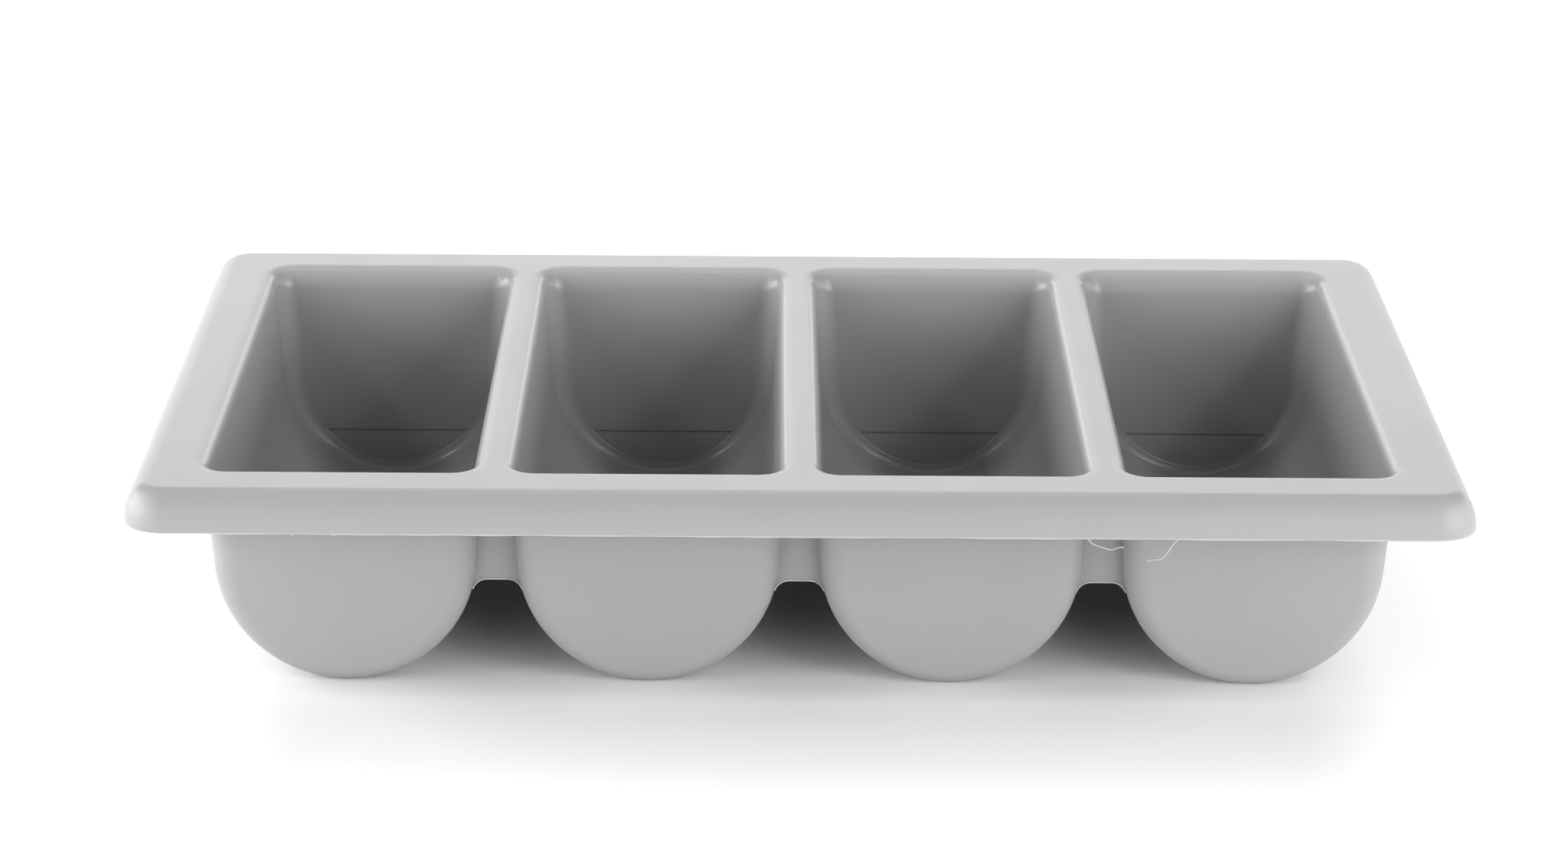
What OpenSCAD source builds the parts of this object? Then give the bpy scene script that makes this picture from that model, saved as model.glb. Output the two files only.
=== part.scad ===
// Four-compartment cutlery container for a full-size food-service rail.
// One thin-walled moulding, drawn as the regions that it is made up of.
// Origin: middle of the footprint, on the surface it stands on.
// +X runs along the row of compartments, -Y is the front, +Z is up.

/* [Overall] */
// Outside width, over the bottom edge of the skirt
tray_w = 530; // [440:1:620]
// Outside depth, over the bottom edge of the skirt
tray_d = 325; // [260:1:400]
// Height from the standing surface to the top of the rim
tray_h = 95; // [85:1:140]
// Thickness of the moulding
wall = 2.5; // [1.5:0.1:3.2]

/* [Rim] */
// Width of the rim at the left and right, from the outside to a compartment's mouth
side_rim = 30.25; // [22:0.25:45]
// Width of the rim at the front and back, from the outside to a compartment's mouth
end_rim = 35; // [28:0.5:50]
// How far the skirt hangs below the top of the rim
skirt_drop = 15.5; // [11:0.5:25]
// Upright edge at the bottom of the skirt, below the rounding
skirt_edge = 0.7; // [0.3:0.1:4]
// Width of the rounding between the flat land and the skirt, seen from above
round_w = 10; // [6:0.5:13]
// Corner radius of the skirt, seen from above
rim_corner = 16.3; // [14:0.1:30]

/* [Compartments] */
// Number of compartments in the row
compartments = 4; // [3:1:5]
// Lean of a compartment's side walls, in degrees from upright
side_draft = 3.75; // [0:0.05:8]
// Lean of a compartment's end walls, in degrees from upright
end_draft = 5; // [0:0.5:12]
// How far the round underside of a trough is cut off flat to stand on
base_cut = 0.24; // [0.1:0.02:1]
// Inside radius between the upright walls of a compartment
corner_r = 8.5; // [6:0.5:12]
// Inside radius between the bottom of the trough and its end walls
floor_r = 3.5; // [2.5:0.5:6]
// Radius of the lip along the sides of a compartment
lip_side = 6.3; // [3.5:0.1:7.2]
// Radius of the lip along the ends of a compartment
lip_end = 9.5; // [5:0.5:12]

/* [Dividers] */
// Width over the two walls of a divider just under its lips
divider_w = 16.5; // [14.5:0.5:22]
// Thickness of the webs that close the ends of a divider
web_t = 2.5; // [1.5:0.1:6]
// Drop from the top of the rim to the bottom edge of a web
web_drop = 53; // [30:1:62]
// Radius where a web's bottom edge runs out into the troughs
web_fillet = 6; // [1:0.5:7]

/* [Hidden] */
$fn = 64;
// Flat strip kept round each rounded edge before the next region starts
seam = 0.4;
// Blunt end left where a web runs out on a trough
web_toe = 0.4;
// Distance of a web behind the rounded end of the troughs
web_setback = 0.5;
// Steps along the trough's arc, round its corners, over its lip and over the rim
arc_steps = 10;
corner_steps = 6;
lip_steps = 4;
rim_steps = 12;
// Half the flat left across the end of the lowest rings
ring_end = 2;
moulding_grey = [0.72, 0.72, 0.72];

// Mouth of a compartment, just under its lip
mouth_w = (tray_w - 2 * side_rim - (compartments - 1) * divider_w) / compartments;
mouth_l = tray_d - 2 * end_rim;
floor_l = mouth_l - 2 * (tray_h - lip_end - wall) * tan(end_draft);
pitch = mouth_w + divider_w;
land_z = tray_h - wall;

// Trough section: the circle that both side walls run out into
mouth_rise = tray_h - lip_side - wall + base_cut;
trough_r = (mouth_w / 2 - mouth_rise * tan(side_draft)) / (1 / cos(side_draft) - tan(side_draft));
trough_out = trough_r + wall;
axis_z = trough_out - base_cut;

// Rim section: land, rounding and skirt
skirt_bottom = tray_h - skirt_drop;
round_h = skirt_drop - skirt_edge;
round_start = rim_corner - round_w;
land_w = tray_w - 2 * (round_w + seam);
land_d = tray_d - 2 * (round_w + seam);
land_corner = round_start - seam;

// Web place and size; each fillet keeps clear of its trough by the toe, and the web ends there
web_z = tray_h - web_drop;
web_low = web_z - web_fillet;
fillet_reach = trough_out + web_toe + web_fillet;
fillet_fall = max(0, axis_z - web_low);
fillet_lean = max(0, web_z - axis_z) * tan(side_draft);
fillet_x = pitch / 2 - sqrt(pow(fillet_reach, 2) - pow(fillet_fall, 2)) - fillet_lean;
web_foot = web_low + web_fillet * fillet_fall / fillet_reach;
web_y = end_y(web_low, wall) - corner_r - wall - web_setback;

function compartment_x(i) = (i - (compartments - 1) / 2) * pitch;
function divider_x(i) = (i - (compartments - 2) / 2) * pitch;

// Half width of the trough at height z, for a trough of radius q
function half_x(z, q) = z >= axis_z - q * sin(side_draft)
    ? q / cos(side_draft) + (z - axis_z) * tan(side_draft)
    : sqrt(max(0, pow(q, 2) - pow(axis_z - z, 2)));

// Half length at height z, off = 0 inside and off = wall outside
function end_y(z, off) = floor_l / 2 + (z - wall) * tan(end_draft) + off / cos(end_draft);

// Corner radius at height z, growing from the bottom up to the trough's axis
function corner_at(z, off) = off + floor_r
    + (corner_r - floor_r) * max(0, min(1, (z - wall) / (axis_z - wall)));

// Corner point of the wall at height z, turned b degrees from side to end
function corner_pt(z, b, off) = let (r = corner_at(z, off)) [
    half_x(z, trough_r + off - r * (1 - cos(b))),
    end_y(z, off) - r * (1 - sin(b)),
    z
];

// Furthest turn that a ring at height z can make before it closes
function turn(z, off) = acos(max(0, 1 - (trough_r + off
    - norm([axis_z - z, ring_end])) / corner_at(z, off)));

function lip_r(b) = lip_side * pow(cos(b), 2) + lip_end * pow(sin(b), 2);
function draft(b) = side_draft * pow(cos(b), 2) + end_draft * pow(sin(b), 2);

// Centre of the lip's rounding above the wall's corner point
function lip_centre(b) = let (
    r = lip_r(b),
    p = corner_pt(tray_h - r * (1 - sin(draft(b))), b, 0)
) [p[0] + r * cos(draft(b)) * cos(b), p[1] + r * cos(draft(b)) * sin(b), tray_h - r];

// Point on the lip, g from the wall's draft up to 90 degrees on the land
function lip_pt(b, g, off) = let (c = lip_centre(b), r = lip_r(b) - off)
    [c[0] - r * cos(g) * cos(b), c[1] - r * cos(g) * sin(b), c[2] + r * sin(g)];

// Edge of the flat strip beyond the lip
function strip_pt(b, z) = let (c = lip_centre(b))
    [c[0] + seam * cos(b), c[1] + seam * sin(b), z];

// Full ring from the points of one quarter, side first
function around(q) = let (n = len(q) - 1) concat(
    q,
    [for (i = [n:-1:0]) [-q[i][0], q[i][1], q[i][2]]],
    [for (p = q) [-p[0], -p[1], p[2]]],
    [for (i = [n:-1:0]) [q[i][0], -q[i][1], q[i][2]]]
);

turns = [for (i = [0:corner_steps]) 90 * i / corner_steps];

function wall_ring(z, off) = let (most = min(90, z < axis_z ? turn(z, off) : 90))
    around([for (b = turns) corner_pt(z, b / 90 * most, off)]);
function lip_ring(s, off) =
    around([for (b = turns) lip_pt(b, draft(b) + (90 - draft(b)) * s, off)]);
function strip_ring(z) = around([for (b = turns) strip_pt(b, z)]);

// Rings from the flat base up to the land, on one face of the moulding
function arc_heights(off) = let (
    low = axis_z - (wall - off),
    first = asin(low / (trough_r + off))
) [for (k = [0:arc_steps]) let (a = first + (side_draft - first) * k / arc_steps)
    axis_z - (trough_r + off) * sin(a)];
function face_rings(off) = concat(
    [for (z = arc_heights(off)) wall_ring(z, off)],
    [for (k = [0:lip_steps]) lip_ring(k / lip_steps, off)],
    [strip_ring(tray_h - off)]
);
function reversed(v) = [for (i = [len(v) - 1:-1:0]) v[i]];

// Closed solid through a list of equal rings, capped at both ends
module skin(rings) {
    n = len(rings[0]);
    m = len(rings);
    sides = [for (k = [0:m - 2], i = [0:n - 1]) let (j = (i + 1) % n) each [
        [k * n + i, (k + 1) * n + i, (k + 1) * n + j],
        [k * n + i, (k + 1) * n + j, k * n + j]
    ]];
    caps = [[for (i = [0:n - 1]) i], [for (i = [n - 1:-1:0]) (m - 1) * n + i]];
    polyhedron(points = [for (r = rings) each r], faces = concat(sides, caps));
}

module compartment(i) {
    color(moulding_grey)
        translate([compartment_x(i), 0, 0])
            intersection() {
                skin(concat(face_rings(wall), reversed(face_rings(0))));
                // Keeps the base level with the standing surface
                translate([-pitch / 2, -tray_d / 2, 0]) cube([pitch, tray_d, tray_h]);
            }
}

// Outline of a compartment's region in the land, seen from above
module compartment_outline() {
    polygon([for (p = strip_ring(tray_h)) [p[0], p[1]]]);
}

// Half width and half length of the flat strip on top of a divider
bridge_x = pitch / 2 - strip_pt(0, tray_h)[0];
bridge_y = strip_pt(0, tray_h)[1];

module divider(i) {
    color(moulding_grey)
        translate([divider_x(i) - bridge_x, -bridge_y, land_z])
            cube([2 * bridge_x, 2 * bridge_y, wall]);
}

module rounded_plate(w, d, r) {
    square([w - 2 * r, d], center = true);
    square([w, d - 2 * r], center = true);
    for (x = [-1, 1], y = [-1, 1])
        translate([x * (w / 2 - r), y * (d / 2 - r)]) circle(r);
}

module rim_land() {
    color(moulding_grey)
        translate([0, 0, land_z])
            linear_extrude(wall)
                difference() {
                    rounded_plate(land_w, land_d, land_corner);
                    for (i = [0:compartments - 1])
                        translate([compartment_x(i), 0]) compartment_outline();
                    // The dividers' strips, from the first compartment to the last
                    square(2 * [compartment_x(compartments - 1), bridge_y], center = true);
                }
}

// Points over the rim's rounding, off = 0 outside and off = wall inside
function rim_arc(off) = [for (k = [0:rim_steps]) let (a = 90 - 90 * k / rim_steps)
    [round_start + (round_w - off) * cos(a), tray_h - round_h + (round_h - off) * sin(a)]];

// Rim section from the land outwards, measured from the corner's axis
module rim_section() {
    outer = rim_arc(0);
    inner = reversed(rim_arc(wall));
    polygon(concat(
        [[land_corner, land_z], [land_corner, tray_h]],
        outer,
        [[rim_corner, skirt_bottom], [rim_corner - wall, skirt_bottom]],
        inner
    ));
}

// Straight length of rim, centred, with its outside facing +X
module rim_run(length) {
    translate([0, length / 2, 0])
        rotate([90, 0, 0])
            linear_extrude(length) rim_section();
}

module rim_skirt() {
    run_x = tray_w / 2 - rim_corner;
    run_y = tray_d / 2 - rim_corner;
    color(moulding_grey)
        for (side = [0, 1]) rotate(180 * side) {
            translate([run_x, 0, 0]) rim_run(2 * run_y);
            translate([0, run_y, 0]) rotate(90) rim_run(2 * run_x);
            translate([run_x, run_y, 0]) rotate_extrude(angle = 90) rim_section();
            translate([-run_x, run_y, 0]) rotate(90) rotate_extrude(angle = 90) rim_section();
        }
}

// Half width of the gap between two troughs at height z
function gap_x(z) = pitch / 2 - half_x(z, trough_out);

// Points of a web's side, from its foot up to the divider's strip
function web_side() = concat(
    [[gap_x(web_foot), web_foot]],
    [for (z = arc_heights(wall)) if (z > web_foot) [gap_x(z), z]],
    [for (k = [0:lip_steps]) let (p = lip_ring(k / lip_steps, wall)[0]) [pitch / 2 - p[0], p[2]]],
    [[bridge_x, land_z]]
);

// Upright section of a web, with the arch that its bottom edge makes
module web_section() {
    side = web_side();
    difference() {
        polygon(concat(side, [for (p = reversed(side)) [-p[0], p[1]]]));
        translate([-fillet_x, web_low]) square([2 * fillet_x, web_fillet]);
        for (s = [-1, 1])
            translate([s * fillet_x, web_low]) circle(web_fillet);
    }
}

// Web under divider i, end = -1 at the front and 1 at the back
module end_web(i, end) {
    color(moulding_grey)
        translate([divider_x(i), end * web_y + (end < 0 ? web_t : 0), 0])
            rotate([90, 0, 0])
                linear_extrude(web_t) web_section();
}

rim_land();
rim_skirt();
for (i = [0:compartments - 1])
    compartment(i);
for (i = [0:compartments - 2]) {
    divider(i);
    end_web(i, -1);
    end_web(i, 1);
}
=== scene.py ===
import math
import bmesh
import bpy
from mathutils import Matrix, Vector, noise


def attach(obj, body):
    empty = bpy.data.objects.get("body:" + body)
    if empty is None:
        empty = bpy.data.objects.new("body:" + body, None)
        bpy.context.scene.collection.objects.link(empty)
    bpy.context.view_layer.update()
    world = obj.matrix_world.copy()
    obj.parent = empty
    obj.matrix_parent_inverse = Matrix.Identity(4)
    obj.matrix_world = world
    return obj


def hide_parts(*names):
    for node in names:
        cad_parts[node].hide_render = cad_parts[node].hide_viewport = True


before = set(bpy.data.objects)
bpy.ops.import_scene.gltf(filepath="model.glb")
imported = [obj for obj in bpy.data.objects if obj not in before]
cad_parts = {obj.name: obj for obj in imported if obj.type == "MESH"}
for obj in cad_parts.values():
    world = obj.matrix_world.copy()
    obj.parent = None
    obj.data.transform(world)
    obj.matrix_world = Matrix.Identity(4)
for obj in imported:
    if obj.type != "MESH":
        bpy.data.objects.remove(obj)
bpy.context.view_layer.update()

scene = bpy.context.scene

# sizes that more than one piece shares, in metres
tray = {
    "height": 0.095,
    "wall": 0.0025,
    "strip": 0.0004,         # flat strip beyond each rounded edge, where the next piece starts
    "pitch": 0.1215,         # from one compartment to the next
    "compartments": 4,
    "sharpAngle": 35.0,      # degrees, edges above this stay crisp
    "near": 1e-6,            # points closer than this are at the same place
}


def compartmentX(index):
    return (index - (tray["compartments"] - 1) / 2) * tray["pitch"]


def dividerX(index):
    return (index - (tray["compartments"] - 2) / 2) * tray["pitch"]


# node helpers for the plastics

def addNode(tree, kind, spot, **values):
    node = tree.nodes.new(kind)
    node.location = spot
    for name, value in values.items():
        setattr(node, name, value)
    return node


def newGroup(name, inputs, outputs):
    group = bpy.data.node_groups.new(name, "ShaderNodeTree")
    for label, kind in inputs.items():
        group.interface.new_socket(label, in_out="INPUT", socket_type=kind)
    for label, kind in outputs.items():
        group.interface.new_socket(label, in_out="OUTPUT", socket_type=kind)
    entry = addNode(group, "NodeGroupInput", (-900, 0))
    leave = addNode(group, "NodeGroupOutput", (900, 0))
    return group, entry, leave


# grain: fine spark-eroded texture with a slow waviness under it

grainTexture = {
    "grainDetail": 3.0,
    "grainRoughness": 0.55,
    "waveDetail": 2.0,
}


def makeGrainGroup():
    group, entry, leave = newGroup(
        "mouldGrain",
        {"Vector": "NodeSocketVector", "Grain Scale": "NodeSocketFloat",
         "Wave Scale": "NodeSocketFloat", "Wave Share": "NodeSocketFloat"},
        {"Height": "NodeSocketFloat", "Mottle": "NodeSocketFloat"})
    grain = addNode(group, "ShaderNodeTexNoise", (-600, 200), noise_dimensions="3D")
    grain.inputs["Detail"].default_value = grainTexture["grainDetail"]
    grain.inputs["Roughness"].default_value = grainTexture["grainRoughness"]
    wave = addNode(group, "ShaderNodeTexNoise", (-600, -150), noise_dimensions="3D")
    wave.inputs["Detail"].default_value = grainTexture["waveDetail"]
    mix = addNode(group, "ShaderNodeMix", (-200, 100), data_type="FLOAT")
    link = group.links.new
    link(entry.outputs["Vector"], grain.inputs["Vector"])
    link(entry.outputs["Grain Scale"], grain.inputs["Scale"])
    link(entry.outputs["Vector"], wave.inputs["Vector"])
    link(entry.outputs["Wave Scale"], wave.inputs["Scale"])
    link(entry.outputs["Wave Share"], mix.inputs[0])
    link(grain.outputs["Fac"], mix.inputs[2])
    link(wave.outputs["Fac"], mix.inputs[3])
    link(mix.outputs[0], leave.inputs["Height"])
    link(wave.outputs["Fac"], leave.inputs["Mottle"])
    return group


# scratches: a few faint upright draw marks on the side walls, where the moulding rubbed as it left the tool

drawMarks = {
    "stretch": (1.0, 1.0, 0.12),   # the marks run up and down
    "spacing": 420.0,
    "faintest": 0.68,              # noise where a mark starts
    "strongest": 0.85,
    "wallStart": 0.93,             # sideways share of the normal on a side wall
    "wallFull": 0.99,
}


def makeScratchGroup():
    group, entry, leave = newGroup(
        "drawScratches",
        {"Vector": "NodeSocketVector", "Normal": "NodeSocketVector"},
        {"Scratches": "NodeSocketFloat"})
    stretch = addNode(group, "ShaderNodeVectorMath", (-650, 200), operation="MULTIPLY")
    stretch.inputs[1].default_value = drawMarks["stretch"]
    lines = addNode(group, "ShaderNodeTexNoise", (-400, 250), noise_dimensions="3D")
    lines.inputs["Scale"].default_value = drawMarks["spacing"]
    lines.inputs["Detail"].default_value = 0.0
    cut = addNode(group, "ShaderNodeMapRange", (-100, 200))
    cut.inputs["From Min"].default_value = drawMarks["faintest"]
    cut.inputs["From Max"].default_value = drawMarks["strongest"]
    axes = addNode(group, "ShaderNodeSeparateXYZ", (-650, -150))
    sideways = addNode(group, "ShaderNodeMath", (-400, -150), operation="ABSOLUTE")
    wall = addNode(group, "ShaderNodeMapRange", (-100, -150))
    wall.inputs["From Min"].default_value = drawMarks["wallStart"]
    wall.inputs["From Max"].default_value = drawMarks["wallFull"]
    both = addNode(group, "ShaderNodeMath", (200, 0), operation="MULTIPLY")
    link = group.links.new
    link(entry.outputs["Vector"], stretch.inputs[0])
    link(stretch.outputs[0], lines.inputs["Vector"])
    link(lines.outputs["Fac"], cut.inputs["Value"])
    link(entry.outputs["Normal"], axes.inputs[0])
    link(axes.outputs["X"], sideways.inputs[0])
    link(sideways.outputs[0], wall.inputs["Value"])
    link(cut.outputs["Result"], both.inputs[0])
    link(wall.outputs["Result"], both.inputs[1])
    link(both.outputs[0], leave.inputs["Scratches"])
    return group


# plastics: one satin grey, glossier inside the troughs; the flash and the arch flash are lighter, as painted
# highlight on their edges

rimLook = {
    "dark": (0.305, 0.306, 0.308),
    "light": (0.375, 0.376, 0.378),
    "ior": 1.49,
    "specular": 0.5,
    "rough": 0.38,
    "roughSpread": 0.04,
    "grainScale": 1500.0,
    "waveScale": 30.0,
    "waveShare": 0.25,
    "mottle": 0.12,          # how far the waviness moves the tone
    "scratch": 0.0,
    "bump": 0.25,
    "bumpDepth": 0.00006,
}
troughLook = dict(rimLook, rough=0.25, roughSpread=0.005, waveShare=0.1, mottle=0.06, scratch=0.7)
# the flash is real, but its lighter grey is a painted highlight for the bright line along the skirt's bottom
# edge
flashHighlightLook = dict(rimLook, dark=(0.43, 0.43, 0.43), light=(0.52, 0.52, 0.52), rough=0.28)
# paler still round the arches: a painted highlight for the bright line along each web's bottom edge
archHighlightLook = dict(flashHighlightLook, dark=(0.72, 0.72, 0.72), light=(0.82, 0.82, 0.82))
grainGroup = makeGrainGroup()
scratchGroup = makeScratchGroup()


def makePlastic(name, look):
    material = bpy.data.materials.new(name)
    material.use_nodes = True
    tree = material.node_tree
    shader = tree.nodes["Principled BSDF"]
    shader.inputs["IOR"].default_value = look["ior"]
    shader.inputs["Specular IOR Level"].default_value = look["specular"]
    place = addNode(tree, "ShaderNodeTexCoord", (-1200, 0))
    grain = addNode(tree, "ShaderNodeGroup", (-900, 200), node_tree=grainGroup)
    grain.inputs["Grain Scale"].default_value = look["grainScale"]
    grain.inputs["Wave Scale"].default_value = look["waveScale"]
    grain.inputs["Wave Share"].default_value = look["waveShare"]
    scratch = addNode(tree, "ShaderNodeGroup", (-900, -200), node_tree=scratchGroup)
    tone = addNode(tree, "ShaderNodeMapRange", (-600, 300))
    tone.inputs["To Min"].default_value = 0.5 - look["mottle"]
    tone.inputs["To Max"].default_value = 0.5 + look["mottle"]
    marks = addNode(tree, "ShaderNodeMath", (-400, 100), operation="MULTIPLY_ADD")
    marks.inputs[1].default_value = look["scratch"]
    shade = addNode(tree, "ShaderNodeMix", (-150, 200), data_type="RGBA", clamp_factor=True)
    shade.inputs["A"].default_value = (*look["dark"], 1.0)
    shade.inputs["B"].default_value = (*look["light"], 1.0)
    rough = addNode(tree, "ShaderNodeMapRange", (-400, -350))
    rough.inputs["To Min"].default_value = look["rough"] - look["roughSpread"]
    rough.inputs["To Max"].default_value = look["rough"] + look["roughSpread"]
    bump = addNode(tree, "ShaderNodeBump", (-150, -250))
    bump.inputs["Strength"].default_value = look["bump"]
    bump.inputs["Distance"].default_value = look["bumpDepth"]
    link = tree.links.new
    link(place.outputs["Object"], grain.inputs["Vector"])
    link(place.outputs["Object"], scratch.inputs["Vector"])
    link(place.outputs["Normal"], scratch.inputs["Normal"])
    link(grain.outputs["Mottle"], tone.inputs["Value"])
    link(scratch.outputs["Scratches"], marks.inputs[0])
    link(tone.outputs["Result"], marks.inputs[2])
    link(marks.outputs[0], shade.inputs["Factor"])
    link(shade.outputs["Result"], shader.inputs["Base Color"])
    link(grain.outputs["Mottle"], rough.inputs["Value"])
    link(rough.outputs["Result"], shader.inputs["Roughness"])
    link(grain.outputs["Height"], bump.inputs["Height"])
    link(bump.outputs["Normal"], shader.inputs["Normal"])
    return material


rimPlastic = makePlastic("rimPlastic", rimLook)
troughPlastic = makePlastic("troughPlastic", troughLook)
flashHighlightPlastic = makePlastic("flashHighlightPlastic", flashHighlightLook)
archHighlightPlastic = makePlastic("archHighlightPlastic", archHighlightLook)
print("plastics ready")


# mesh helpers

def finishPiece(name, bm, materials, nodes=()):
    mesh = bpy.data.meshes.new(name)
    bm.to_mesh(mesh)
    bm.free()
    mesh.shade_smooth()
    mesh.set_sharp_from_angle(angle=math.radians(tray["sharpAngle"]))
    for material in materials:
        mesh.materials.append(material)
    piece = bpy.data.objects.new(name, mesh)
    scene.collection.objects.link(piece)
    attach(piece, "root")
    if nodes:
        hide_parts(*nodes)


def newVerts(geom):
    return [item for item in geom if isinstance(item, bmesh.types.BMVert)]


def drawOn(bm, vert, spot):
    # draws a line from a vertex to a new one
    after = bmesh.ops.extrude_vert_indiv(bm, verts=[vert])["verts"][0]
    after.co = spot
    return after


def outwardTurn(spot, halfX, halfY, radius):
    # how far a point on a rounded rectangle has turned from its side (0) to its end (90 degrees)
    overX = abs(spot.x) - (halfX - radius)
    overY = abs(spot.y) - (halfY - radius)
    if overY <= tray["near"]:
        return 0.0
    if overX <= tray["near"]:
        return math.pi / 2
    return math.atan2(overY, overX)


def planNormal(spot, turn):
    return Vector((math.copysign(math.cos(turn), spot.x), math.copysign(math.sin(turn), spot.y), 0))


def pullLoop(bm, loop, moves):
    # extrudes the open edge and moves each new vertex from its old one
    ring = set(loop)
    edges = [edge for edge in bm.edges if len(edge.link_faces) < 2 and ring.issuperset(edge.verts)]
    fresh = set(newVerts(bmesh.ops.extrude_edge_only(bm, edges=edges)["geom"]))
    after = []
    for vert, move in zip(loop, moves):
        twin = next(e.other_vert(vert) for e in vert.link_edges if e.other_vert(vert) in fresh)
        twin.co = vert.co + move
        after.append(twin)
    return after


def thicken(bm, outward, wall=tray["wall"]):
    # gives the skin its wall on the side that faces away from outward
    bmesh.ops.recalc_face_normals(bm, faces=bm.faces)
    probe = max(bm.faces, key=lambda face: face.calc_area())
    if probe.normal.dot(outward(probe.calc_center_median())) < 0:
        bmesh.ops.reverse_faces(bm, faces=bm.faces)
    bm.normal_update()
    bmesh.ops.solidify(bm, geom=bm.faces[:], thickness=wall)
    bmesh.ops.recalc_face_normals(bm, faces=bm.faces)


# compartments: trough, end walls and rounded lip

compartment = {
    "troughRadius": 0.05000,
    "axisHeight": 0.05226,
    "sideDraft": 3.75,             # degrees
    "endDraft": 5.0,
    "floorLength": 0.24048,
    "cornerRadius": 0.0085,
    "floorRadius": 0.0035,         # the corner is tighter at the bottom of the trough
    "sideLip": 0.0063,
    "endLip": 0.0095,
    "arcSteps": 44,
    "cornerSegments": 10,
    "lipSteps": 10,
    "wallLoops": (0.002, 0.034),   # extra loops up the side walls, above the trough's arc
    "endInset": 0.0004,            # narrow border that keeps the end walls flat
    "insertLine": 0.0213,          # height of the insert's witness line on the end walls
    "insertGroove": 0.0009,        # width and depth of the line
    "grooveShares": (0.0, 0.3, 0.7, 1.0),
    "insertDepth": 0.0003,         # how far the insert stands back below it
    "panelFacing": 0.9,            # share of the normal that points along the trough on an end wall
    "lipFinish": 0.8,              # upward share of the normal where the rim's finish takes over
}
sideDraft = math.radians(compartment["sideDraft"])
endDraft = math.radians(compartment["endDraft"])
troughAxis = Vector((0, 0, compartment["axisHeight"]))
wallTop = tray["height"] - compartment["sideLip"] * (1 - math.sin(sideDraft))


def endReach(level):
    # from the middle of a trough to its end wall at this height
    return compartment["floorLength"] / 2 + (level - tray["wall"]) * math.tan(endDraft)


def atWallTop(vert):
    return abs(vert.co.z - wallTop) < tray["near"]


def makeSheet(bm):
    # section: arc of the trough, then its two straight walls
    c = compartment
    start = troughAxis + c["troughRadius"] * Vector((math.cos(sideDraft), 0, -math.sin(sideDraft)))
    first = bm.verts.new(start)
    spun = bmesh.ops.spin(bm, geom=[first], cent=troughAxis, axis=(0, 1, 0), angle=math.pi - 2 * sideDraft,
                          steps=c["arcSteps"], use_duplicate=False)
    last = newVerts(spun["geom_last"])[0]
    for vert, hand in ((first, 1), (last, -1)):
        foot = vert.co.copy()
        for rise in (*c["wallLoops"], wallTop - foot.z):
            vert = drawOn(bm, vert, foot + rise * Vector((hand * math.tan(sideDraft), 0, 1)))
    # run the section from end to end, with the ends leaning out
    far = set(newVerts(bmesh.ops.extrude_edge_only(bm, edges=bm.edges[:])["geom"]))
    for vert in bm.verts:
        reach = endReach(vert.co.z)
        vert.co.y = reach if vert in far else -reach


def closeEnds(bm):
    walls = []
    for hand in (-1, 1):
        border = [e for e in bm.edges if all(v.co.y * hand > 0 for v in e.verts)]
        border.append(bm.edges.new([v for v in bm.verts if v.co.y * hand > 0 and atWallTop(v)]))
        walls += bmesh.ops.edgenet_fill(bm, edges=border)["faces"]
    return walls


def roundCorners(bm, walls):
    # all the way round each end, but not along the mouth
    c = compartment
    mouthEdges = {e for e in bm.edges if all(atWallTop(v) for v in e.verts)}
    corner = [e for face in walls for e in face.edges if e not in mouthEdges]
    bmesh.ops.bevel(bm, geom=corner, offset=c["cornerRadius"], offset_type="OFFSET", affect="EDGES",
                    segments=c["cornerSegments"], profile=0.5, material=-1, clamp_overlap=True)
    # draw the corner in towards its sharp edge, most at the bottom
    tight = c["floorRadius"] / c["cornerRadius"]
    for vert in bm.verts:
        if vert.co.z < troughAxis.z:
            swing = math.atan2(vert.co.x, troughAxis.z - vert.co.z)
            edge = troughAxis + c["troughRadius"] * Vector((math.sin(swing), 0, -math.cos(swing)))
            edge.y = math.copysign(endReach(edge.z), vert.co.y)
            rise = (edge.z - tray["wall"]) / (troughAxis.z - tray["wall"])
            rise = max(0.0, min(1.0, rise))
            vert.co = edge + (tight + (1 - tight) * rise) * (vert.co - edge)


def rollLip(bm):
    c = compartment
    loop = [v for v in bm.verts if atWallTop(v)]
    halfX = max(v.co.x for v in loop)
    halfY = max(v.co.y for v in loop)
    # the wall ends lower where the lip has the bigger radius
    lips = []
    for vert in loop:
        turn = outwardTurn(vert.co, halfX, halfY, c["cornerRadius"])
        share = math.sin(turn) ** 2
        lip = c["sideLip"] * (1 - share) + c["endLip"] * share
        draft = sideDraft * (1 - share) + endDraft * share
        drop = tray["height"] - lip * (1 - math.sin(draft)) - wallTop
        leanX = math.copysign(math.cos(turn) * math.tan(sideDraft), vert.co.x)
        leanY = math.copysign(math.sin(turn) * math.tan(endDraft), vert.co.y)
        vert.co += drop * Vector((leanX, leanY, 1))
        lips.append((planNormal(vert.co, turn), lip, draft))
    walls = sorted(bm.faces, key=lambda face: len(face.verts))[-2:]
    bmesh.ops.inset_region(bm, faces=walls, thickness=c["endInset"], use_even_offset=True, use_boundary=True)
    # over the top and out to the flat strip
    for step in range(c["lipSteps"]):
        moves = []
        for normal, lip, draft in lips:
            now = draft + (math.pi / 2 - draft) * step / c["lipSteps"]
            then = draft + (math.pi / 2 - draft) * (step + 1) / c["lipSteps"]
            out = lip * (math.cos(now) - math.cos(then))
            up = lip * (math.sin(then) - math.sin(now))
            moves.append(out * normal + Vector((0, 0, up)))
        loop = pullLoop(bm, loop, moves)
    loop = pullLoop(bm, loop, [tray["strip"] * normal for normal, lip, draft in lips])
    return [v.co.copy() for v in loop]


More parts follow.
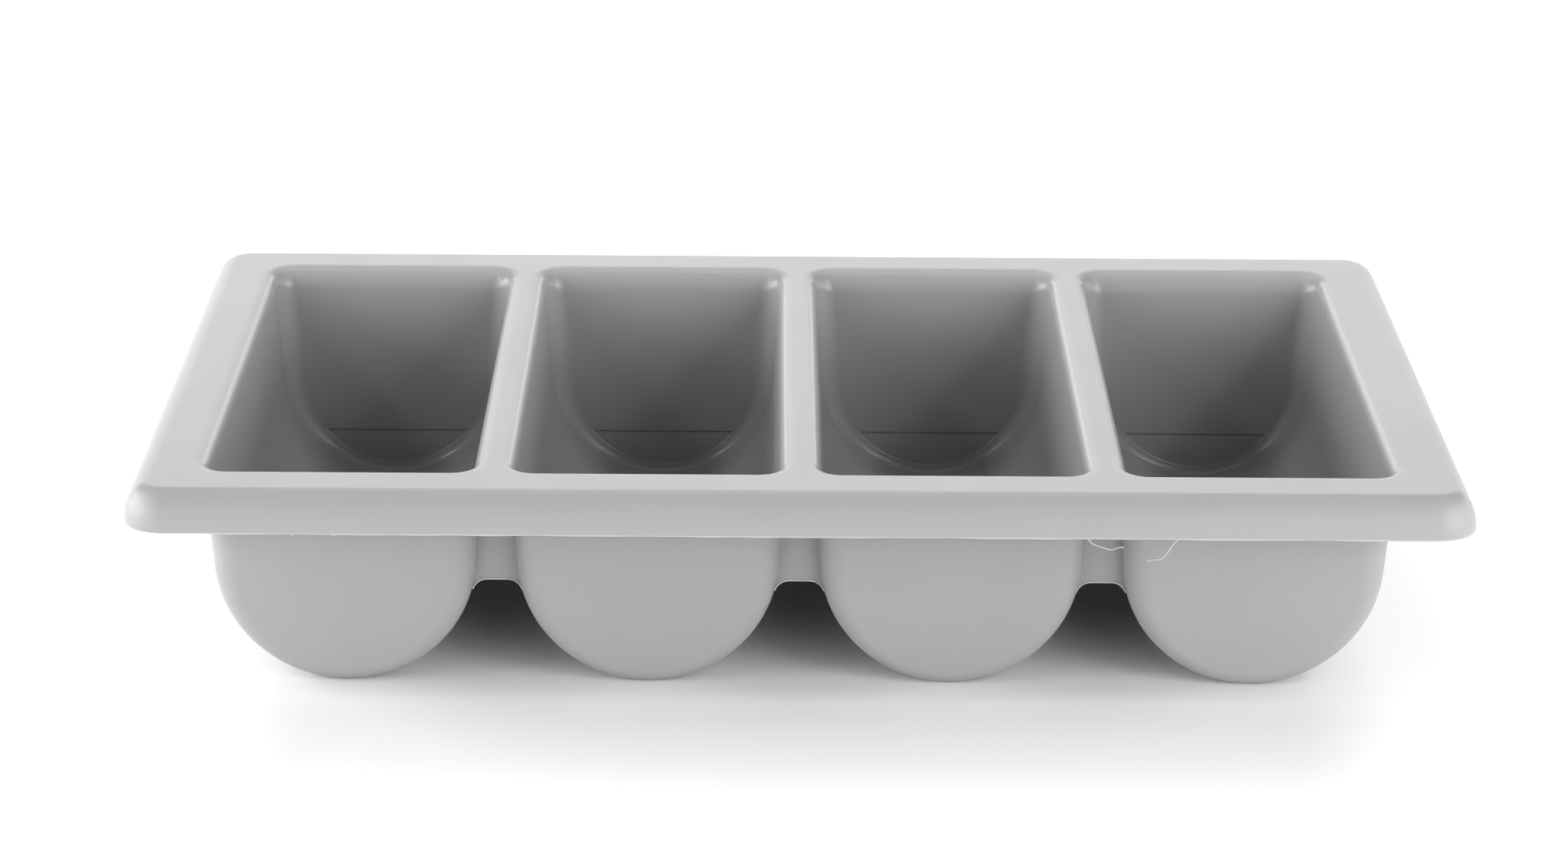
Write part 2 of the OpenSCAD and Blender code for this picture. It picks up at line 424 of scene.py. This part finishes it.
def addInsertLine(bm):
    # a narrow groove, and below it the insert that stands back a little
    c = compartment
    groove = c["insertGroove"]
    levels = [c["insertLine"] - groove * share for share in c["grooveShares"]]
    for hand in (-1, 1):
        facing = [f for f in bm.faces
                  if f.normal.y * hand < -c["panelFacing"] and f.calc_center_median().y * hand > 0]
        panel = max(facing, key=lambda face: face.calc_area())
        geom = [panel, *panel.edges, *panel.verts]
        for level in levels:
            geom = bmesh.ops.bisect_plane(bm, geom=geom, plane_co=(0, 0, level), plane_no=(0, 0, 1),
                                          dist=tray["near"])["geom"]
        panels = [item for item in geom if isinstance(item, bmesh.types.BMFace)]
        for vert in {v for face in panels for v in face.verts if v.co.z < levels[0] - tray["near"]}:
            inGroove = vert.co.z > levels[2] - tray["near"]
            vert.co.y += hand * (groove if inGroove else c["insertDepth"])


def makeTrough():
    bm = bmesh.new()
    makeSheet(bm)
    roundCorners(bm, closeEnds(bm))
    outline = rollLip(bm)
    # wall thickness, on the outside and underneath
    thicken(bm, lambda spot: troughAxis - spot)
    for vert in bm.verts:
        vert.co.z = max(vert.co.z, 0.0)    # the flat that it stands on
    addInsertLine(bm)
    # the inside has its own finish, up to where the lip turns over
    for face in bm.faces:
        inward = troughAxis - face.calc_center_median()
        lipTop = inward.z < 0 and face.normal.z > compartment["lipFinish"]
        face.material_index = int(face.normal.dot(inward) > 0 and not lipTop)
    return bm, outline


troughMesh, compartmentOutline = makeTrough()
for index in range(tray["compartments"]):
    shell = troughMesh.copy()
    bmesh.ops.translate(shell, verts=shell.verts, vec=(compartmentX(index), 0, 0))
    finishPiece(f"compartmentShell{index + 1}", shell, [rimPlastic, troughPlastic],
                [f"compartment_{index + 1}"])
troughMesh.free()
print("compartments done")


# rim: flat land, and a rounded edge that turns down into the skirt

rim = {
    "width": 0.530,
    "depth": 0.325,
    "skirtDrop": 0.0155,
    "skirtEdge": 0.0007,     # upright edge below the rounding
    "roundWidth": 0.010,
    "corner": 0.0163,
    "roundSteps": 16,
    "cornerSegments": 16,
}
skirtBottom = tray["height"] - rim["skirtDrop"]
roundFall = rim["skirtDrop"] - rim["skirtEdge"]
landInset = rim["roundWidth"] + tray["strip"]
rimHalf = Vector((rim["width"] / 2, rim["depth"] / 2))
landHalf = rimHalf - Vector((landInset, landInset))
landCorner = rim["corner"] - landInset


def addOutline(bm, half, corner, level):
    # rounded rectangle, seen from above
    made = bmesh.ops.create_grid(bm, x_segments=1, y_segments=1, size=1.0)
    bmesh.ops.scale(bm, vec=(half.x, half.y, 1), verts=made["verts"])
    bmesh.ops.translate(bm, vec=(0, 0, level), verts=made["verts"])
    bmesh.ops.bevel(bm, geom=made["verts"], offset=corner, offset_type="OFFSET", affect="VERTICES",
                    segments=rim["cornerSegments"], profile=0.5, material=-1)
    bmesh.ops.delete(bm, geom=bm.faces[:], context="FACES_ONLY")


def makeLand():
    bm = bmesh.new()
    addOutline(bm, landHalf, landCorner, tray["height"])
    # one hole for all the compartments and dividers: along the back ends, then along the front ones
    ends = {1: [], -1: []}
    for index in range(tray["compartments"]):
        for hand in ends:
            half = [spot for spot in compartmentOutline if spot.y * hand > 0]
            for spot in sorted(half, key=lambda spot: spot.x):
                ends[hand].append(spot + Vector((compartmentX(index), 0, 0)))
    ring = [bm.verts.new(spot) for spot in ends[1] + ends[-1][::-1]]
    for vert, after in zip(ring, ring[1:] + ring[:1]):
        bm.edges.new((vert, after))
    bmesh.ops.triangle_fill(bm, edges=bm.edges[:], use_beauty=True, normal=(0, 0, 1))
    thicken(bm, lambda spot: Vector((0, 0, 1)))
    finishPiece("rimLandPlate", bm, [rimPlastic], ["rim_land"])


def makeSkirt():
    bm = bmesh.new()
    addOutline(bm, landHalf, landCorner, tray["height"])
    loop = bm.verts[:]
    turns = [outwardTurn(v.co, landHalf.x, landHalf.y, landCorner) for v in loop]
    normals = [planNormal(v.co, turn) for v, turn in zip(loop, turns)]
    loop = pullLoop(bm, loop, [tray["strip"] * normal for normal in normals])
    # quarter of an ellipse, from level to upright
    for step in range(rim["roundSteps"]):
        now = math.pi / 2 * step / rim["roundSteps"]
        then = math.pi / 2 * (step + 1) / rim["roundSteps"]
        out = rim["roundWidth"] * (math.sin(then) - math.sin(now))
        up = roundFall * (math.cos(then) - math.cos(now))
        loop = pullLoop(bm, loop, [out * normal + Vector((0, 0, up)) for normal in normals])
    pullLoop(bm, loop, [Vector((0, 0, -rim["skirtEdge"]))] * len(loop))
    thicken(bm, lambda spot: spot)
    finishPiece("rimSkirtEdge", bm, [rimPlastic], ["rim_skirt"])


makeLand()
makeSkirt()
print("rim done")


# flash: the thin line that the tool left under the skirt, with a few loose threads and burrs, in a lighter
# grey that paints a highlight along the skirt's bottom edge

flash = {
    "drop": 0.00045,         # how far the line hangs below the skirt
    "dropSpread": 0.0003,
    "thickness": 0.0003,
    "cuts": 160,             # points of the wavy line along each side
    "waveScale": 70.0,
    "threadRadius": 0.00025,
    "threadRounding": 2,
    "threadFace": -0.1621,   # just behind the skirt's front
    # along the front, and below the skirt's bottom edge
    "threads": {
        "flashThread1": ((0.1055, 0.0002), (0.1118, 0.0005), (0.1128, 0.0017), (0.1142, 0.0028),
                         (0.1175, 0.0039), (0.1209, 0.0048), (0.1246, 0.0038), (0.1258, 0.0039)),
        "flashThread2": ((0.1472, 0.0), (0.1444, 0.0035), (0.1426, 0.0064), (0.1405, 0.0085),
                         (0.1378, 0.009), (0.1348, 0.0095)),
        "flashBurr1": ((-0.1985, 0.0), (-0.1978, 0.0008), (-0.1971, 0.0)),
        "flashBurr2": ((-0.1824, 0.0), (-0.1817, 0.0009), (-0.1810, 0.0)),
    },
}


def makeFlashHighlightLine():
    bm = bmesh.new()
    addOutline(bm, rimHalf, rim["corner"], skirtBottom)
    sides = sorted(bm.edges, key=lambda edge: edge.calc_length())[-4:]
    bmesh.ops.subdivide_edges(bm, edges=sides, cuts=flash["cuts"])
    loop = bm.verts[:]
    waves = [noise.noise(vert.co * flash["waveScale"]) for vert in loop]
    pullLoop(bm, loop, [Vector((0, 0, -flash["drop"] - flash["dropSpread"] * wave)) for wave in waves])
    thicken(bm, lambda spot: Vector((spot.x, spot.y, 0)), flash["thickness"])
    finishPiece("flashHighlightLine", bm, [flashHighlightPlastic])


def makeThread(name, points, plastic):
    curve = bpy.data.curves.new(name, "CURVE")
    curve.dimensions = "3D"
    curve.bevel_depth = flash["threadRadius"]
    curve.bevel_resolution = flash["threadRounding"]
    curve.use_fill_caps = True
    curve.materials.append(plastic)
    line = curve.splines.new("BEZIER")
    line.bezier_points.add(len(points) - 1)
    for knot, spot in zip(line.bezier_points, points):
        knot.co = spot
        knot.handle_left_type = "AUTO"
        knot.handle_right_type = "AUTO"
    thread = bpy.data.objects.new(name, curve)
    scene.collection.objects.link(thread)
    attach(thread, "root")


makeFlashHighlightLine()
for threadName, threadPoints in flash["threads"].items():
    spots = [(along, flash["threadFace"], skirtBottom - below) for along, below in threadPoints]
    makeThread(threadName, spots, flashHighlightPlastic)
print("flash done")


# dividers: flat strip on top, arched webs at both ends with flash round the arch, painted pale as a
# highlight on the web's bottom edge

divider = {
    "stripCuts": 12,        # rows of faces along the strip
    "webFace": 0.1143,      # outside face of a web, from the middle
    "webThickness": 0.0025,
    "webDrop": 0.053,       # from the top of the rim to the arch
    "webFillet": 0.006,
    "webToe": 0.0004,       # width of a web's foot beside the trough
    "filletSteps": 8,
    "sink": 0.0011,         # how far a web runs into the trough walls
    "crownHold": 0.0015,    # height below the strip where a web's sides turn upright
    "crownSink": 0.0006,    # how far a web runs into the strip
}
bridgeSide = max(spot.x for spot in compartmentOutline)
bridgeHalf = tray["pitch"] / 2 - bridgeSide
bridgeLength = max(spot.y for spot in compartmentOutline if spot.x > bridgeSide - tray["near"])
troughOuter = compartment["troughRadius"] + tray["wall"]


def troughGap(level):
    # half the gap between two troughs at this height
    if level >= troughAxis.z - troughOuter * math.sin(sideDraft):
        half = troughOuter / math.cos(sideDraft) + (level - troughAxis.z) * math.tan(sideDraft)
    else:
        half = math.sqrt(troughOuter ** 2 - (troughAxis.z - level) ** 2)
    return tray["pitch"] / 2 - half


def makeStrip(index):
    bm = bmesh.new()
    made = bmesh.ops.create_grid(bm, x_segments=2, y_segments=divider["stripCuts"], size=1.0)
    bmesh.ops.scale(bm, vec=(bridgeHalf, bridgeLength, 1), verts=made["verts"])
    bmesh.ops.translate(bm, vec=(dividerX(index), 0, tray["height"]), verts=made["verts"])
    thicken(bm, lambda spot: Vector((0, 0, 1)))
    finishPiece(f"dividerStrip{index + 1}", bm, [rimPlastic], [f"divider_{index + 1}"])


def drawArch(bm):
    # right half of a web's bottom edge, whose fillet keeps clear of the trough by the toe
    d = divider
    level = tray["height"] - d["webDrop"]
    low = level - d["webFillet"]
    reach = troughOuter + d["webToe"] + d["webFillet"]
    lean = math.asin((troughAxis.z - low) / reach)
    center = Vector((tray["pitch"] / 2 - reach * math.cos(lean), 0, low))
    foot = bm.verts.new(center + d["webFillet"] * Vector((math.cos(lean), 0, math.sin(lean))))
    arc = bmesh.ops.spin(bm, geom=[foot], cent=center, axis=(0, -1, 0), angle=math.pi / 2 - lean,
                         steps=d["filletSteps"], use_duplicate=False)
    drawOn(bm, newVerts(arc["geom_last"])[0], (0, 0, level))
    return foot


def makeWeb(index, hand):
    d = divider
    bm = bmesh.new()
    vert = drawArch(bm)
    rightHalf = sorted((v.co.x, v.co.z) for v in bm.verts)
    arch = [(-x, z) for x, z in rightHalf[:0:-1]] + rightHalf
    # up the side that is sunk in the trough wall, then over to the middle
    foot = vert.co.z
    stripLevel = tray["height"] - tray["wall"]
    holdLevel = stripLevel - d["crownHold"]
    for height in (foot, (foot + troughAxis.z) / 2, troughAxis.z, holdLevel):
        width = troughGap(height) + d["sink"]
        vert = drawOn(bm, vert, (width, 0, height))
    vert = drawOn(bm, vert, (width, 0, stripLevel + d["crownSink"]))
    drawOn(bm, vert, (0, 0, stripLevel + d["crownSink"]))
    bmesh.ops.mirror(bm, geom=bm.verts[:] + bm.edges[:], axis="X", merge_dist=tray["near"])
    bmesh.ops.remove_doubles(bm, verts=bm.verts, dist=tray["near"])
    face = bmesh.ops.edgenet_fill(bm, edges=bm.edges[:])["faces"]
    solid = bmesh.ops.extrude_face_region(bm, geom=face)["geom"]
    bmesh.ops.translate(bm, vec=(0, d["webThickness"], 0), verts=newVerts(solid))
    offset = -d["webFace"] if hand < 0 else d["webFace"] - d["webThickness"]
    bmesh.ops.translate(bm, vec=(dividerX(index), offset, 0), verts=bm.verts)
    bmesh.ops.recalc_face_normals(bm, faces=bm.faces)
    word = "front" if hand < 0 else "back"
    finishPiece(f"{word}Web{index + 1}", bm, [rimPlastic], [f"{word}_web_{index + 1}"])
    # the arch flash is painted pale, a highlight along the web's bottom edge
    archHighlightFace = hand * (d["webFace"] + flash["threadRadius"])
    archHighlightSpots = [(dividerX(index) + x, archHighlightFace, z) for x, z in arch]
    makeThread(f"{word}ArchFlashHighlight{index + 1}", archHighlightSpots, archHighlightPlastic)


for index in range(tray["compartments"] - 1):
    makeStrip(index)
    makeWeb(index, -1)
    makeWeb(index, 1)
print("dividers done")


# studio: floor, lights and camera

studio = {
    "floorSize": 12.0,
    "floorTone": 0.93,
    "toneSpread": 0.005,
    "toneScale": 3.0,
    "floorRough": 0.9,
    "floorSpecular": 0.1,
    # the paper glows round the tray as painted light, and keeps its own grey only where the tray's shadow
    # falls
    "shadowHalf": (0.19, 0.14, 0.0),
    "shadowFade": (0.06, 0.25, 1.0),
    "paperGlow": 0.25,
    "world": 0.0,                        # no light from the sky; the panels and the paper's painted glow give it all
    "lightAim": (0.0, 0.0, 0.06),
    "lights": {
        "backdrop": {"spot": (0.0, 2.4, 0.4), "size": (6.0, 0.8), "power": 30.0, "aim": (0.0, 0.0, 0.4)},
        "backPanel": {"spot": (0.0, 2.4, 1.15), "size": (2.8, 0.7), "power": 19.0, "aim": (0.0, 0.0, 0.1)},
        "backOverhead": {"spot": (0.0, 1.06, 1.76), "size": (0.9, 0.9), "power": 6.0},
        "overhead": {"spot": (0.0, 0.4, 1.9), "size": (2.4, 1.6), "power": 8.4},
        "leftSoftbox": {"spot": (-2.0, 0.0, 0.5), "size": (2.2, 1.3), "power": 50.1},
        "leftHigh": {"spot": (-1.7, 0.0, 1.12), "size": (0.9, 0.9), "power": 3.2},
        "rightSoftbox": {"spot": (2.0, 0.0, 0.5), "size": (2.2, 0.9), "power": 13.2},
        "frontLeft": {"spot": (-1.4, -1.4, 0.48), "size": (1.8, 0.9), "power": 12.0},
        "frontLeftHigh": {"spot": (-1.2, -1.2, 1.12), "size": (0.9, 0.9), "power": 1.2},
        "frontRight": {"spot": (1.4, -1.4, 0.48), "size": (1.8, 0.9), "power": 23.7},
        "frontRightHigh": {"spot": (1.2, -1.2, 1.12), "size": (0.9, 0.9), "power": 7.6},
        "leftLamp": {"spot": (-1.36, -0.6, 1.4), "size": (0.22, 0.22), "power": 3.6},
        "rightLamp": {"spot": (1.34, -0.65, 1.4), "size": (0.22, 0.22), "power": 3.6},
    },
}


def makePaper():
    material = bpy.data.materials.new("floorPaper")
    material.use_nodes = True
    tree = material.node_tree
    shader = tree.nodes["Principled BSDF"]
    shader.inputs["Roughness"].default_value = studio["floorRough"]
    shader.inputs["Specular IOR Level"].default_value = studio["floorSpecular"]
    shader.inputs["Emission Color"].default_value = (1.0, 1.0, 1.0, 1.0)
    place = addNode(tree, "ShaderNodeTexCoord", (-700, 0))
    fibres = addNode(tree, "ShaderNodeTexNoise", (-500, 0))
    fibres.inputs["Scale"].default_value = studio["toneScale"]
    shade = addNode(tree, "ShaderNodeMapRange", (-300, 0))
    shade.inputs["To Min"].default_value = studio["floorTone"] - studio["toneSpread"]
    shade.inputs["To Max"].default_value = studio["floorTone"] + studio["toneSpread"]
    # distance beyond the shadow's middle, in shares of its fade
    fold = addNode(tree, "ShaderNodeVectorMath", (-700, -300), operation="ABSOLUTE")
    beyond = addNode(tree, "ShaderNodeVectorMath", (-550, -300), operation="SUBTRACT")
    beyond.inputs[1].default_value = studio["shadowHalf"]
    outside = addNode(tree, "ShaderNodeVectorMath", (-400, -300), operation="MAXIMUM")
    outside.inputs[1].default_value = (0.0, 0.0, 0.0)
    shares = addNode(tree, "ShaderNodeVectorMath", (-250, -300), operation="DIVIDE")
    shares.inputs[1].default_value = studio["shadowFade"]
    away = addNode(tree, "ShaderNodeVectorMath", (-100, -300), operation="LENGTH")
    # painted light: the paper glows, rising from none over the tray's shadow to full beyond its fade
    glow = addNode(tree, "ShaderNodeMapRange", (50, -300), interpolation_type="SMOOTHSTEP")
    glow.inputs["To Max"].default_value = studio["paperGlow"]
    link = tree.links.new
    link(place.outputs["Object"], fibres.inputs["Vector"])
    link(fibres.outputs["Fac"], shade.inputs["Value"])
    link(shade.outputs["Result"], shader.inputs["Base Color"])
    link(place.outputs["Object"], fold.inputs[0])
    link(fold.outputs[0], beyond.inputs[0])
    link(beyond.outputs[0], outside.inputs[0])
    link(outside.outputs[0], shares.inputs[0])
    link(shares.outputs[0], away.inputs[0])
    link(away.outputs["Value"], glow.inputs["Value"])
    link(glow.outputs["Result"], shader.inputs["Emission Strength"])
    return material


def makeFloor():
    bm = bmesh.new()
    bmesh.ops.create_grid(bm, x_segments=4, y_segments=4, size=studio["floorSize"] / 2)
    mesh = bpy.data.meshes.new("studioFloor")
    bm.to_mesh(mesh)
    bm.free()
    mesh.materials.append(makePaper())
    floor = bpy.data.objects.new("studioFloor", mesh)
    scene.collection.objects.link(floor)


def makeLight(name, setup):
    data = bpy.data.lights.new(name, "AREA")
    data.shape = "RECTANGLE"
    data.size, data.size_y = setup["size"]
    data.energy = setup["power"]
    light = bpy.data.objects.new(name, data)
    light.location = setup["spot"]
    aim = Vector(setup.get("aim", studio["lightAim"])) - Vector(setup["spot"])
    light.rotation_euler = aim.to_track_quat("-Z", "Y").to_euler()
    scene.collection.objects.link(light)


def makeWorld():
    world = bpy.data.worlds.new("studioWorld")
    world.use_nodes = True
    sky = world.node_tree.nodes["Background"]
    sky.inputs["Color"].default_value = (1.0, 1.0, 1.0, 1.0)
    sky.inputs["Strength"].default_value = studio["world"]
    scene.world = world


# the photograph's camera: place in metres, angles in degrees, focal length in its pixels
view = {
    "spot": (-0.01352, -1.69481, 0.67122),
    "yaw": 0.2511,
    "pitch": 19.7104,
    "roll": 0.4333,
    "focalPixels": 5517.2,
    "imageWidth": 2048.0,
    "sensor": 36.0,
    "farClip": 50.0,
}


def makeCamera():
    yaw, pitch, roll = (math.radians(view[key]) for key in ("yaw", "pitch", "roll"))
    ahead = Vector((math.sin(yaw) * math.cos(pitch), math.cos(yaw) * math.cos(pitch), -math.sin(pitch)))
    level = Vector((math.cos(yaw), -math.sin(yaw), 0))
    upright = level.cross(ahead)
    right = math.cos(roll) * level + math.sin(roll) * upright
    up = -math.sin(roll) * level + math.cos(roll) * upright
    data = bpy.data.cameras.new("photoCamera")
    data.sensor_width = view["sensor"]
    data.sensor_fit = "HORIZONTAL"
    data.lens = view["focalPixels"] * view["sensor"] / view["imageWidth"]
    data.clip_end = view["farClip"]
    camera = bpy.data.objects.new("photoCamera", data)
    turn = Matrix((right, up, -ahead)).transposed().to_4x4()
    camera.matrix_world = Matrix.Translation(view["spot"]) @ turn
    scene.collection.objects.link(camera)
    scene.camera = camera


makeFloor()
makeWorld()
for lightName, setup in studio["lights"].items():
    makeLight(lightName, setup)
makeCamera()
scene.view_settings.view_transform = "Standard"
print("studio done")
